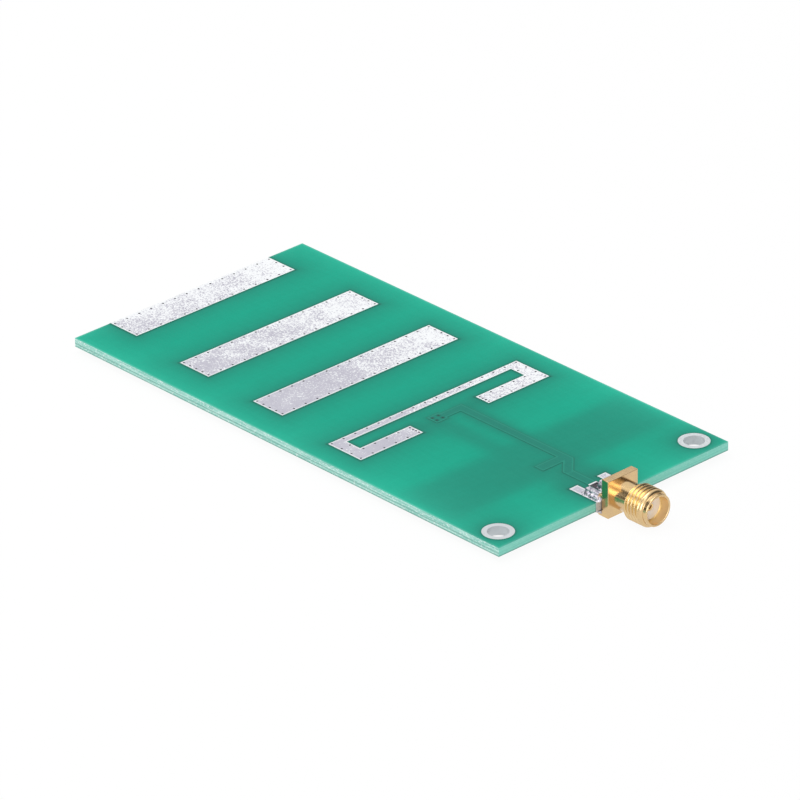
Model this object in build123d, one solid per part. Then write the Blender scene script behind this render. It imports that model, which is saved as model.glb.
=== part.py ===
"""Directional antenna etched on a circuit board, fed by a coaxial jack on one short edge.

Millimetres. +X runs along the board towards the jack, +Z is up from the board's upper face.
The origin lies on the board's underside, midway between the two mounting holes.
"""

import os
from math import radians, tan

from build123d import *

# Board
board_length = 100.0
board_width = 50.0
board_thickness = 1.5

# Mounting holes, plated through, one each side of the jack
hole_inset = 3.95
hole_side_inset = 3.65
hole_diameter = 3.5
hole_pad_diameter = 5.2
plating_thickness = 0.05

# Layers on each face
copper_thickness = 0.035
tin_thickness = 0.02
mask_thickness = 0.025
mask_lap = 0.2
copper_edge_gap = 0.4

# Directors: bare strip seen through the mask, measured from the jack's end of the board
director_width = 6.95
near_director_distance = 55.93
near_director_length = 38.45
middle_director_distance = 74.33
middle_director_length = 37.3
far_director_distance = 93.46
far_director_length = 34.7

# Driven element: a folded dipole, open at its feed
driven_distance = 36.0
driven_length = 41.15
arm_width = 3.05
arm_gap = 14.35
fold_gap = 3.1
fold_bar_width = 1.48
end_bar_width = 2.62

# Feed line on the upper face
feed_width = 1.67
feed_pad_length = 5.15
feed_pad_width = 1.75
feed_straight = 10.15
jog_turn = 45.0
feed_offset = 2.95
feed_turn_distance = 38.0
feed_tail = 3.1
stub_distance = 13.33
stub_width = 2.0
stub_reach = 2.65

# Vias that carry the feed to the lower face
feed_via_bore = 0.4
feed_via_pitch_x = 1.0
feed_via_pitch_y = 1.3
feed_via_centre_y = -2.15
feed_via_pad = 2.5
feed_via_pad_corner = 0.6

# Ground copper on the lower face
ground_distance = 11.2
ground_depth = 12.3
stem_width = 9.1
slot_width = 1.8

# Soldering pads for the jack's legs
leg_pad_length = 6.2
leg_pad_inner = 2.15
leg_pad_width = 1.8

# Jack
flange_size = 6.5
flange_thickness = 1.45
flange_standoff = 0.3
flange_corner = 0.4
neck_radius = 2.5
neck_length = 3.35
thread_radius = 3.175
thread_length = 3.1
thread_chamfer = 0.25
lead_in_length = 0.5
nose_radius = 2.7
nose_length = 0.8
nose_chamfer = 0.15
mouth_radius = 2.3
mouth_depth = 1.75
insulator_radius = 2.1
contact_radius = 0.635
socket_radius = 0.47
socket_depth = 2.6
pin_reach = 3.2
leg_width = 1.0
leg_inner = 2.18
leg_reach = 3.5
leg_height = 0.95
solder_film = 0.03

# Solder fillets
leg_fillet_foot = 0.7
leg_fillet_height = 0.75
pin_fillet_foot = 0.22
pin_fillet_height = 0.55
pin_fillet_overrun = 0.3

# Worked out from the sizes above
hole_spacing = board_width - 2 * hole_side_inset
bare_height = copper_thickness + tin_thickness
masked_height = copper_thickness + mask_thickness
axis_height = board_thickness + bare_height + solder_film + contact_radius
flange_front = flange_standoff + flange_thickness
thread_start = flange_front + neck_length
lead_in_start = thread_start + thread_length
nose_start = lead_in_start + lead_in_length
jack_front = nose_start + nose_length
mouth_floor = jack_front - mouth_depth
arm_reach = arm_gap / 2
ground_width = board_width - 2 * copper_edge_gap
driven_depth = arm_width + fold_gap + fold_bar_width
leg_seat = bare_height + solder_film


def edge_x(distance):
    """The X of a line this far outside the board's jack end, or inside it where negative."""
    return hole_inset + distance


def strip(distance, depth, low_y, high_y):
    """A flat rectangle that starts this far in from the jack's end of the board."""
    centre = Pos(edge_x(-distance - depth / 2), (low_y + high_y) / 2)
    return centre * Rectangle(depth, high_y - low_y)


def on_top(sketch, low, high):
    """A sketch made into a layer between two heights over the board's upper face."""
    return extrude(Pos(0, 0, board_thickness + low) * sketch, amount=high - low)


def to_bottom(solid):
    """The same layer on the board's lower face."""
    return mirror(solid, about=Plane.XY.offset(board_thickness / 2))


def turned_over(solid):
    """The solid on the other face and the other side, as if the board were turned over."""
    middle = Pos(0, 0, board_thickness / 2)
    return middle * Rot(180, 0, 0) * middle.inverse() * solid


def grown(sketch, amount):
    """A sketch with its outline moved out and its corners kept square."""
    return offset(sketch, amount=amount, kind=Kind.INTERSECTION)


def board_outline():
    return strip(0, board_length, -board_width / 2, board_width / 2)


def director_bare(distance, length):
    """The bare part of a director. The last one is cut off by the end of the board."""
    depth = min(director_width, board_length - distance)
    return strip(distance, depth, -length / 2, length / 2)


def driven_bare():
    """The folded dipole: two arms at the feed, joined round their ends by a thin bar."""
    half = driven_length / 2
    whole = strip(driven_distance, driven_depth, -half, half)
    fold = strip(driven_distance + arm_width, fold_gap, -half + end_bar_width, half - end_bar_width)
    feed_gap = strip(driven_distance, arm_width, -arm_reach, arm_reach)
    return whole - fold - feed_gap


def leg_pad_bare(side):
    """The bare pad under one leg of the jack: side is 1 for +Y and -1 for -Y."""
    inner = side * leg_pad_inner
    outer = side * (leg_pad_inner + leg_pad_width)
    return strip(0, leg_pad_length, min(inner, outer), max(inner, outer))


def feed_pad_bare():
    return strip(0, feed_pad_length, -feed_pad_width / 2, feed_pad_width / 2)


def hole_pads():
    """The bare ring of both mounting holes, as filled discs."""
    return [Pos(0, side * hole_spacing / 2) * Circle(hole_pad_diameter / 2) for side in (1, -1)]


def under_mask(bare):
    """The copper below a bare shape, which reaches a little way under the mask."""
    return grown(bare, mask_lap) & board_outline()


def feed_via_places():
    """The centres of the four vias at the end of the feed line."""
    middle = Pos(edge_x(-feed_turn_distance), feed_via_centre_y)
    return [middle * place for place in GridLocations(feed_via_pitch_x, feed_via_pitch_y, 2, 2)]


def feed_outline():
    """The feed line: pad, straight run, slanted jog, long run with its stub, and turn to the vias."""
    half = feed_width / 2
    mitre = feed_width * tan(radians(jog_turn / 2))
    jog_end = feed_straight + feed_offset / tan(radians(jog_turn))
    pad = under_mask(feed_pad_bare())
    straight = strip(0, feed_straight, -half, half)
    jog = make_face(
        Polyline(
            (edge_x(-feed_straight), half),
            (edge_x(-feed_straight), -half),
            (edge_x(-feed_straight - mitre), -half),
            (edge_x(-jog_end - mitre), feed_offset - half),
            (edge_x(-jog_end - mitre), feed_offset + half),
            (edge_x(-jog_end), feed_offset + half),
            close=True,
        )
    )
    run_end = feed_turn_distance + half
    run = strip(jog_end, run_end - jog_end, feed_offset - half, feed_offset + half)
    stub = strip(stub_distance, stub_width, -stub_reach, feed_offset)
    turn = strip(feed_turn_distance - half, feed_width, -feed_tail, feed_offset + half)
    via_pad = Pos(edge_x(-feed_turn_distance), feed_via_centre_y) * RectangleRounded(
        feed_via_pad, feed_via_pad, feed_via_pad_corner
    )
    return pad + straight + jog + run + stub + turn + via_pad


def ground_outline():
    """The lower face's ground band, the stem to the jack, and the two strips to the dipole."""
    ground_end = ground_distance + ground_depth
    arms_end = driven_distance + arm_width
    stem = strip(0, ground_distance, -stem_width / 2, stem_width / 2)
    band = strip(ground_distance, ground_depth, -ground_width / 2, ground_width / 2)
    outline = stem + band
    for side in (1, -1):
        near, far, tip = side * slot_width / 2, side * stem_width / 2, side * (arm_reach + mask_lap)
        outline += strip(ground_end, arms_end - ground_end, min(near, far), max(near, far))
        outline += strip(driven_distance, arm_width, min(near, tip), max(near, tip))
    return outline


def etched(outline, bare):
    """Copper of this outline on the upper face, with tin on the part that the mask leaves bare."""
    return on_top(outline, 0, copper_thickness) + on_top(bare, 0, bare_height)


def via_holes(radius):
    """Four pegs that cut the feed vias out of whatever they pass through."""
    depth = board_thickness + 2 * masked_height
    peg = Pos(0, 0, board_thickness / 2) * Cylinder(radius, depth)
    return [place * peg for place in feed_via_places()]


def make_board():
    drilled = hole_diameter / 2 + plating_thickness
    board = extrude(board_outline(), amount=board_thickness)
    for side in (1, -1):
        board -= Pos(0, side * hole_spacing / 2, board_thickness / 2) * Cylinder(drilled, board_thickness)
    for peg in via_holes(feed_via_bore / 2 + plating_thickness):
        board -= peg
    return board


def make_mask(outlines, bare_shapes):
    """The coat over the upper face: thin on the board, raised over copper, open where bare."""
    step_width = mask_thickness
    coat = on_top(board_outline(), 0, mask_thickness)
    for outline in outlines:
        coat += on_top(grown(outline, step_width) & board_outline(), 0, masked_height)
    for outline in outlines:
        coat -= on_top(outline, 0, copper_thickness)
    for bare in bare_shapes:
        coat -= on_top(bare, 0, masked_height)
    for place in feed_via_places():
        coat -= on_top(place * Circle(feed_via_bore / 2 + plating_thickness), 0, masked_height)
    return coat


def make_feed_line():
    line = etched(feed_outline(), feed_pad_bare())
    for peg in via_holes(feed_via_bore / 2 + plating_thickness):
        line -= peg
    return line


def make_back_copper():
    """One sheet of copper: ground, feed strips and the lower half of the folded dipole."""
    bare = [driven_bare(), leg_pad_bare(1), leg_pad_bare(-1)]
    outline = ground_outline()
    for shape in bare:
        outline += under_mask(shape)
    sheet = on_top(outline, 0, copper_thickness)
    for shape in bare:
        sheet += on_top(shape, 0, bare_height)
    sheet = to_bottom(sheet)
    for peg in via_holes(feed_via_bore / 2 + plating_thickness):
        sheet -= peg
    return sheet


def make_hole_plating(side):
    """A plated barrel through the board with a ring pad on each face."""
    place = Pos(0, side * hole_spacing / 2, board_thickness / 2)
    pad_radius = hole_pad_diameter / 2
    barrel = Cylinder(hole_diameter / 2 + plating_thickness, board_thickness)
    for face in (1, -1):
        copper_place = Pos(0, 0, face * (board_thickness + copper_thickness) / 2)
        tin_place = Pos(0, 0, face * (board_thickness + bare_height) / 2)
        barrel += copper_place * Cylinder(pad_radius + mask_lap, copper_thickness)
        barrel += tin_place * Cylinder(pad_radius, bare_height)
    return place * (barrel - Cylinder(hole_diameter / 2, board_thickness + 2 * bare_height))


def make_feed_vias():
    """Four short plated tubes, each a solid of its own."""
    height = board_thickness + 2 * copper_thickness
    tube = Cylinder(feed_via_bore / 2 + plating_thickness, height) - Cylinder(feed_via_bore / 2, height)
    tube = Pos(0, 0, board_thickness / 2) * tube
    return Compound([solid for place in feed_via_places() for solid in (place * tube).solids()])


def turned(points):
    """A solid turned about the jack's axis from points of distance out from the board and radius."""
    profile = Polyline(*[(edge_x(out), radius) for out, radius in points], close=True)
    face = Pos(0, 0, axis_height) * (Plane.XZ * make_face(profile))
    return revolve(face, axis=Axis((0, 0, axis_height), (1, 0, 0)), revolution_arc=360)


def leg_block(side, reach, low, high):
    """A bar that runs in over the board from the flange, at the place of one leg."""
    length = reach + flange_standoff
    place = Pos(edge_x((flange_standoff - reach) / 2), side * (leg_inner + leg_width / 2), (low + high) / 2)
    return place * Box(length, leg_width, high - low)


def make_jack_body():
    """Flange, threaded barrel and four legs, machined from one bar."""
    flange_place = Pos(edge_x(flange_standoff + flange_thickness / 2), 0, axis_height)
    flange = Box(flange_thickness, flange_size, flange_size)
    flange = flange_place * fillet(flange.edges().filter_by(Axis.X), radius=flange_corner)
    barrel = turned(
        [
            (flange_standoff, insulator_radius),
            (flange_standoff, neck_radius),
            (thread_start, neck_radius),
            (thread_start, thread_radius - thread_chamfer),
            (thread_start + thread_chamfer, thread_radius),
            (lead_in_start, thread_radius),
            (nose_start, nose_radius),
            (jack_front - nose_chamfer, nose_radius),
            (jack_front, nose_radius - nose_chamfer),
            (jack_front, mouth_radius),
            (mouth_floor, mouth_radius),
            (mouth_floor, insulator_radius),
        ]
    )
    core = flange_place * Rot(0, 90, 0) * Cylinder(insulator_radius, flange_thickness)
    body = flange - core + barrel
    top_seat = board_thickness + leg_seat
    flange_bottom = axis_height - flange_size / 2
    for side in (1, -1):
        body += leg_block(side, leg_reach, top_seat, top_seat + leg_height)
        body += leg_block(side, leg_reach, flange_bottom, -leg_seat)
    return body


def make_jack_insulator():
    return turned(
        [
            (flange_standoff, contact_radius),
            (flange_standoff, insulator_radius),
            (mouth_floor, insulator_radius),
            (mouth_floor, contact_radius),
        ]
    )


def make_jack_contact():
    """The centre conductor: a socket in the mouth and a round pin over the feed pad."""
    return turned(
        [
            (-pin_reach, 0),
            (-pin_reach, contact_radius),
            (mouth_floor, contact_radius),
            (mouth_floor, socket_radius),
            (mouth_floor - socket_depth, socket_radius),
            (mouth_floor - socket_depth, 0),
        ]
    )


def wet_slope(top_x, foot, height):
    """The hollow slope of solder, level where it meets the pad and rising to a height at top_x."""
    return TangentArc((top_x + foot, 0), (top_x, height), tangent=(-1, 0))


def leg_section(flat):
    """The section of a soldered leg in XY: flat under the leg, then a slope down to the pad."""
    foot, height = leg_fillet_foot, leg_fillet_height
    edges = Polyline((flat + foot, 0), (0, 0), (0, height), (flat, height))
    return make_face([edges, wet_slope(flat, foot, height)])


def make_leg_solder():
    """Solder under the upper leg on the +Y side, along its outer side and round its end."""
    seat = board_thickness + bare_height
    length = leg_reach + flange_standoff
    across = Plane((edge_x(-leg_reach - leg_fillet_foot), leg_inner, seat), x_dir=(0, 1, 0), z_dir=(1, 0, 0))
    along = Plane((edge_x(flange_standoff), leg_inner, seat), x_dir=(-1, 0, 0), z_dir=(0, 1, 0))
    mound = extrude(across * leg_section(leg_width), amount=length + leg_fillet_foot, dir=(1, 0, 0))
    mound = mound & extrude(along * leg_section(length), amount=leg_width + leg_fillet_foot, dir=(0, 1, 0))
    return mound - leg_block(1, leg_reach, seat + solder_film, seat + solder_film + leg_height)


def make_pin_solder():
    """Solder that wets both sides of the pin and the feed pad under it."""
    seat = board_thickness + bare_height
    right = wet_slope(contact_radius, pin_fillet_foot, pin_fillet_height)
    left = mirror(right, about=Plane.YZ)
    section = make_face([right, left, Line(right @ 0, left @ 0), Line(right @ 1, left @ 1)])
    length = pin_reach + pin_fillet_overrun
    across = Plane((edge_x(-length), 0, seat), x_dir=(0, 1, 0), z_dir=(1, 0, 0))
    mound = extrude(across * section, amount=length, dir=(1, 0, 0))
    pin = turned([(-pin_reach, 0), (-pin_reach, contact_radius), (0, contact_radius), (0, 0)])
    return mound - pin


def save(name, solid):
    """Write one node's solid and report its volume."""
    solid.label = name
    export_step(solid, os.path.join("parts", name + ".step"))
    print(f"{name:24s} {len(solid.solids())} solid, {solid.volume:10.3f} mm3")


def main():
    os.makedirs("parts", exist_ok=True)
    directors = {
        "near": director_bare(near_director_distance, near_director_length),
        "middle": director_bare(middle_director_distance, middle_director_length),
        "far": director_bare(far_director_distance, far_director_length),
    }
    shared_bare = [*directors.values(), driven_bare(), leg_pad_bare(1), leg_pad_bare(-1), *hole_pads()]
    shared_copper = [under_mask(shape) for shape in shared_bare]
    mask_top = make_mask([*shared_copper, feed_outline()], [*shared_bare, feed_pad_bare()])
    mask_bottom = to_bottom(make_mask([*shared_copper, ground_outline()], shared_bare))

    save("board", make_board())
    save("mask_top", mask_top)
    save("mask_bottom", mask_bottom)
    for name, bare in directors.items():
        director = etched(under_mask(bare), bare)
        save(f"director_{name}_top", director)
        save(f"director_{name}_bottom", to_bottom(director))
    save("driven_element_top", etched(under_mask(driven_bare()), driven_bare()))
    save("feed_line", make_feed_line())
    save("back_copper", make_back_copper())
    save("feed_vias", make_feed_vias())
    save("jack_body", make_jack_body())
    save("jack_insulator", make_jack_insulator())
    save("jack_contact", make_jack_contact())
    save("pin_solder", make_pin_solder())
    for name, side in (("left", 1), ("right", -1)):
        bare = leg_pad_bare(side)
        save(f"leg_pad_{name}", etched(under_mask(bare), bare))
        save(f"hole_plating_{name}", make_hole_plating(side))
    solder = make_leg_solder()
    save("leg_solder_top_left", solder)
    save("leg_solder_top_right", mirror(solder, about=Plane.XZ))
    save("leg_solder_bottom_left", to_bottom(solder))
    save("leg_solder_bottom_right", turned_over(solder))


main()
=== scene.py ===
# %% [markdown]
# # Directional antenna on a circuit board
# The real thing is one green board, about 100 by 50 mm, with bright tinned strips and a gold
# coaxial jack soldered to one short edge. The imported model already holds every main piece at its
# true size. This notebook loads it, gives each piece the finish that the photograph shows, and
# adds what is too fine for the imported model: the thread, the small vias and the solder's lumps.

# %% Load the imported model
import math

import bmesh
import bpy
from mathutils import Matrix, Vector, noise


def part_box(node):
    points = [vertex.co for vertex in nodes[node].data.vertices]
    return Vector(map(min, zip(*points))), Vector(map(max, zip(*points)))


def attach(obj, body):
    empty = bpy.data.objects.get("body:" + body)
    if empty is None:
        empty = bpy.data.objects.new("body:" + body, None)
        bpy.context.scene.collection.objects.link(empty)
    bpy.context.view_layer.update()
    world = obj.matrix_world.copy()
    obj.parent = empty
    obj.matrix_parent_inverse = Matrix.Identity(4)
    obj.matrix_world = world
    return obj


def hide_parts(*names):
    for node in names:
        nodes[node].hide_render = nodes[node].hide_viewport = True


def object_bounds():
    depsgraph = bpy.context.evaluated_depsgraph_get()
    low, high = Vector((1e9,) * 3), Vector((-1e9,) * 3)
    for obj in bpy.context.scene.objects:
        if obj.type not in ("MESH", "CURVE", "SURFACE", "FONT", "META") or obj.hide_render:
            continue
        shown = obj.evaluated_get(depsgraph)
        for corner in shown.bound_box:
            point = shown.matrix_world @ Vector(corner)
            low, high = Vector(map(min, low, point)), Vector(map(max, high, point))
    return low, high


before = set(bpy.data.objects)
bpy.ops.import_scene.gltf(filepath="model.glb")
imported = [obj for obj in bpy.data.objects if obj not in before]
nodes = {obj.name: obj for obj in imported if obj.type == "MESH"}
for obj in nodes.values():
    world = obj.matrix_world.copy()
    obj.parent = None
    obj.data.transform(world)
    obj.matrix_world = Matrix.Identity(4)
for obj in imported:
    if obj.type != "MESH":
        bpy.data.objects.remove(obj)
cad_low, cad_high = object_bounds()
print("pieces in the packed model:", len(nodes))
print("its box in mm:", [round(1000 * (b - a), 2) for a, b in zip(cad_low, cad_high)])

# %% [markdown]
# ## Sizes that the finishes need
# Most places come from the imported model's own boxes. A few widths inside a piece, such as the
# bars of the folded dipole, can't be read from a box, so they are written here once, in
# millimetres. Shader coordinates are turned into millimetres too, which keeps the numbers short.

# %% Places in millimetres
MM = 0.001


def span(node):
    """A node's box as low and high corners in millimetres."""
    low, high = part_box(node)
    return [value / MM for value in low], [value / MM for value in high]


board_low, board_high = span("board")
jack_edge = board_high[0]
board_top = board_high[2]
mask_skin = span("mask_top")[1][2] - board_top
lap = 0.2
print("the jack's end of the board is at x =", round(jack_edge, 3))
print("copper and mask stand", round(mask_skin, 3), "mm over the board")

# %% Plan of the copper on both faces
arm_width = 3.05
fold_bar_width = 1.48
end_bar_width = 2.62
arm_inner = 7.175
feed_half = 0.835
feed_offset = 2.95
stem_half = 4.55
slot_half = 0.9


def plate(near, far, low_y, high_y):
    """A rectangle from two distances in from the jack's end of the board and two Ys."""
    return (jack_edge - far, low_y, jack_edge - near, high_y)


def box_plate(node):
    """The outline of a node seen from above."""
    low, high = span(node)
    return (low[0], low[1], high[0], high[1])


director_plates = [box_plate(f"director_{name}_top") for name in ("near", "middle", "far")]
dipole_far, dipole_right, dipole_near, dipole_left = box_plate("driven_element_top")
fold_reach = fold_bar_width + 2 * lap
end_reach = end_bar_width + 2 * lap
arm_far = dipole_near - arm_width - 2 * lap
driven_plates = [
    (dipole_far, dipole_right, dipole_far + fold_reach, dipole_left),
    (dipole_far, dipole_left - end_reach, dipole_near, dipole_left),
    (dipole_far, dipole_right, dipole_near, dipole_right + end_reach),
    (arm_far, arm_inner - lap, dipole_near, dipole_left),
    (arm_far, dipole_right, dipole_near, lap - arm_inner),
]
leg_plates = [box_plate("leg_pad_left"), box_plate("leg_pad_right"), plate(0, 5.15, -0.875, 0.875)]
feed_plates = [
    plate(0, 10.15, -feed_half, feed_half),
    plate(13.1, 38.8, feed_offset - feed_half, feed_offset + feed_half),
    plate(13.33, 15.33, -2.65, feed_offset),
    plate(37.17, 38.83, -3.1, feed_offset + feed_half),
    plate(36.75, 39.25, -3.4, -0.9),
]
feed_jog = ((jack_edge - 10.5, 0.0), (jack_edge - 13.45, feed_offset))
ground_plates = [
    plate(0, 11.2, -stem_half, stem_half),
    plate(11.2, 23.5, board_low[1] + 0.4, board_high[1] - 0.4),
    plate(23.5, 39.05, slot_half, stem_half),
    plate(23.5, 39.05, -stem_half, -slot_half),
    plate(36.0, 39.05, stem_half, arm_inner + lap),
    plate(36.0, 39.05, -arm_inner - lap, -stem_half),
]
hole_from_middle = 21.35
hole_places = [(0.0, side * hole_from_middle) for side in (1, -1)]
hole_pad_radius = 2.6
strip_plates = [*director_plates, *driven_plates, *leg_plates]
print("plates of copper planned:", len(strip_plates + feed_plates + ground_plates))

# %% [markdown]
# ## Small helpers for shader nodes
# A finish is a little network of nodes. These helpers add one node, join what feeds it and hand
# back its result, so a network reads like ordinary arithmetic. Colours are written as the
# 0 to 255 values that a painter would read off the screen, and turned into light values.

# %% Colours and sums
def screen_colour(red, green, blue):
    """A screen colour from 0 to 255 as the light values that shaders use."""
    channels = [value / 255 for value in (red, green, blue)]
    light = [c / 12.92 if c <= 0.04045 else ((c + 0.055) / 1.055) ** 2.4 for c in channels]
    return (*light, 1.0)


def feed(tree, value, socket):
    """Join another node's result to a socket, or set the socket to a plain value."""
    if isinstance(value, bpy.types.NodeSocket):
        tree.links.new(value, socket)
    else:
        socket.default_value = value


def sums(tree, operation, *values):
    """One arithmetic node on numbers."""
    node = tree.nodes.new("ShaderNodeMath")
    node.operation = operation
    for value, socket in zip(values, node.inputs):
        feed(tree, value, socket)
    return node.outputs[0]


def arrows(tree, operation, *values):
    """One arithmetic node on positions."""
    node = tree.nodes.new("ShaderNodeVectorMath")
    node.operation = operation
    for value, socket in zip(values, node.inputs):
        feed(tree, value, socket)
    return node.outputs["Value" if operation in ("LENGTH", "DOT_PRODUCT") else "Vector"]


def between(tree, value, low, high, to_low=0.0, to_high=1.0, smooth=False):
    """A value from one range carried over to another, and held at its ends."""
    node = tree.nodes.new("ShaderNodeMapRange")
    node.interpolation_type = "SMOOTHSTEP" if smooth else "LINEAR"
    for number, socket in zip((value, low, high, to_low, to_high), node.inputs):
        feed(tree, number, socket)
    return node.outputs[0]


def carried(tree, share, first, second):
    """A number carried from a first value to a second by a share from 0 to 1."""
    way = sums(tree, "MULTIPLY", share, sums(tree, "SUBTRACT", second, first))
    return sums(tree, "ADD", first, way)


print("mid green is", [round(value, 3) for value in screen_colour(42, 170, 143)])

# %% Mixing, noise and bump
def blend(tree, share, first, second, kind="MIX"):
    """Two colours mixed by a share from 0 to 1."""
    node = tree.nodes.new("ShaderNodeMix")
    node.data_type = "RGBA"
    node.blend_type = kind
    feed(tree, share, node.inputs[0])
    feed(tree, first, node.inputs[6])
    feed(tree, second, node.inputs[7])
    return node.outputs[2]


def toward(tree, colour, target, share, strength=1.0):
    """A colour moved part of the way to another."""
    return blend(tree, sums(tree, "MULTIPLY", share, strength), colour, target)


def spread(tree, value):
    """One number as all three parts of a position or a colour."""
    node = tree.nodes.new("ShaderNodeCombineXYZ")
    for socket in node.inputs:
        feed(tree, value, socket)
    return node.outputs[0]


def split_axes(tree, place):
    """The X, Y and Z of a position."""
    node = tree.nodes.new("ShaderNodeSeparateXYZ")
    tree.links.new(place, node.inputs[0])
    return node.outputs


def clouds(tree, place, size, detail=3.0, roughness=0.55, stretch=(1, 1, 1), shift=(0, 0, 0)):
    """Noise from 0 to 1 whose lumps are about this many millimetres across."""
    moved = arrows(tree, "ADD", place, shift)
    scaled = arrows(tree, "MULTIPLY", moved, tuple(value / size for value in stretch))
    node = tree.nodes.new("ShaderNodeTexNoise")
    feed(tree, scaled, node.inputs["Vector"])
    node.inputs["Scale"].default_value = 1.0
    node.inputs["Detail"].default_value = detail
    node.inputs["Roughness"].default_value = roughness
    return node.outputs["Fac"]


def relief(tree, height, depth_mm, shader):
    """Bump on a shader's normal, with its depth in millimetres."""
    node = tree.nodes.new("ShaderNodeBump")
    node.inputs["Strength"].default_value = 1.0
    node.inputs["Distance"].default_value = depth_mm * MM
    feed(tree, height, node.inputs["Height"])
    tree.links.new(node.outputs["Normal"], shader.inputs["Normal"])


print("node helpers ready")

# %% A finish and the piece that wears it
def finish_named(name, **settings):
    """A new material, its node tree, its shader and the surface's place in millimetres."""
    material = bpy.data.materials.new(name)
    material.use_nodes = True
    tree = material.node_tree
    shader = tree.nodes["Principled BSDF"]
    for socket, value in settings.items():
        shader.inputs[socket.replace("_", " ")].default_value = value
    where = tree.nodes.new("ShaderNodeTexCoord").outputs["Object"]
    place = arrows(tree, "MULTIPLY", where, (1 / MM, 1 / MM, 1 / MM))
    return material, tree, shader, place


def dress(piece, material):
    """Give a piece one finish all over."""
    piece.data.materials.clear()
    piece.data.materials.append(material)


print("finish helpers ready")

# %% [markdown]
# ## The floor, the light and the camera
# The board lies on a white sheet in a white studio. One large soft box hangs above, a smaller one
# stands to the side, and the room gives the rest. The floor shows white to the camera and in
# the metal's reflections, but keeps a little of the shadow. For reflections alone, the room is
# dark low down behind the board and dim beside it: it gives the gold its dark bands. A picture
# of a studio could do that too, but a few named values are easier to change. Two more soft boxes
# stand in front. Light linking keeps them to the gold shell, which needs hot glints, while the
# flat tin would only turn blank white in them.

# %% Floor
floor_size = 4.0
floor_gap = 0.02 * MM
shadow_share = 0.06
floor_z = cad_low.z - floor_gap
half = floor_size / 2
floor_corners = [(-half, -half, 0), (half, -half, 0), (half, half, 0), (-half, half, 0)]
floor_mesh = bpy.data.meshes.new("floor")
floor_mesh.from_pydata(floor_corners, [], [(0, 1, 2, 3)])
floor = bpy.data.objects.new("floor", floor_mesh)
floor.location = (0, 0, floor_z)
bpy.context.scene.collection.objects.link(floor)


def seen_rays(tree):
    """1 for rays from the camera, off a mirror or through glass, and 0 for the light's own."""
    path = tree.nodes.new("ShaderNodeLightPath")
    seen = sums(tree, "MAXIMUM", path.outputs["Is Camera Ray"], path.outputs["Is Glossy Ray"])
    return sums(tree, "MAXIMUM", seen, path.outputs["Is Transmission Ray"])


def white_floor():
    """White where it is seen, with a little of the shadow kept, and matt white paper for the light."""
    material = bpy.data.materials.new("white_floor")
    material.use_nodes = True
    tree = material.node_tree
    shader = tree.nodes["Principled BSDF"]
    shader.inputs["Base Color"].default_value = (1.0, 1.0, 1.0, 1.0)
    shader.inputs["Roughness"].default_value = 1.0
    shader.inputs["Specular IOR Level"].default_value = 0.0
    glow = tree.nodes.new("ShaderNodeEmission")
    glow.inputs["Strength"].default_value = 1.0
    mix = tree.nodes.new("ShaderNodeMixShader")
    tree.links.new(sums(tree, "MULTIPLY", seen_rays(tree), 1 - shadow_share), mix.inputs[0])
    tree.links.new(shader.outputs[0], mix.inputs[1])
    tree.links.new(glow.outputs[0], mix.inputs[2])
    tree.links.new(mix.outputs[0], tree.nodes["Material Output"].inputs["Surface"])
    return material


dress(floor, white_floor())
print("floor at z =", round(floor_z / MM, 2), "mm")

# %% Room
room_level = 0.68
behind = (-1.0, 0.0, 0.0)
dark_wall = 0.07
plain_wall = 1.2
low_wall_top = 0.34
high_wall_top = 0.66
wall_blur = 0.12
level_above = 1.0
beside = (0.69, 0.72, 0.0)
dim_side = 0.12
dim_side_top = 0.7
wall_turn = (0.0, 0.6)
wall_step = (-0.35, 0.25)
dim_side_turn = (0.64, 0.86)


def studio_world():
    """White to the camera, an even glow on the board, and soft dark and light fields in mirrors."""
    world = bpy.data.worlds.new("studio")
    world.use_nodes = True
    tree = world.node_tree
    background = tree.nodes["Background"]
    background.inputs["Color"].default_value = (1.0, 1.0, 1.0, 1.0)
    path = tree.nodes.new("ShaderNodeLightPath")
    direction = tree.nodes.new("ShaderNodeTexCoord").outputs["Generated"]
    axes = split_axes(tree, direction)
    facing = arrows(tree, "DOT_PRODUCT", direction, behind)
    wall = between(tree, facing, *wall_turn, plain_wall, dark_wall)
    wall_top = between(tree, axes[1], *wall_step, high_wall_top, low_wall_top)
    above_wall = sums(tree, "SUBTRACT", axes[2], wall_top)
    in_mirrors = between(tree, above_wall, 0.0, wall_blur, wall, level_above, smooth=True)
    dim = between(tree, arrows(tree, "DOT_PRODUCT", direction, beside), *dim_side_turn)
    dim = sums(tree, "MULTIPLY", dim, between(tree, axes[2], dim_side_top + wall_blur, dim_side_top))
    in_mirrors = carried(tree, dim, in_mirrors, dim_side)
    level = carried(tree, path.outputs["Is Glossy Ray"], room_level, in_mirrors)
    shown = sums(tree, "MAXIMUM", path.outputs["Is Camera Ray"], path.outputs["Is Transmission Ray"])
    level = sums(tree, "MAXIMUM", level, shown)
    tree.links.new(level, background.inputs["Strength"])
    return world


bpy.context.scene.world = studio_world()
print("room glows at", room_level)

# %% Lamps
lamp_aim = Vector((-0.046, 0.0, 0.0))


def soft_box(name, place, size, level):
    """A square lamp that faces the board. Its level is how bright its face looks in a mirror."""
    lamp = bpy.data.lights.new(name, "AREA")
    lamp.size = size
    lamp.energy = level * math.pi * size * size
    holder = bpy.data.objects.new(name, lamp)
    holder.location = place
    holder.rotation_euler = (lamp_aim - Vector(place)).to_track_quat("-Z", "Y").to_euler()
    bpy.context.scene.collection.objects.link(holder)
    return holder


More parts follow.
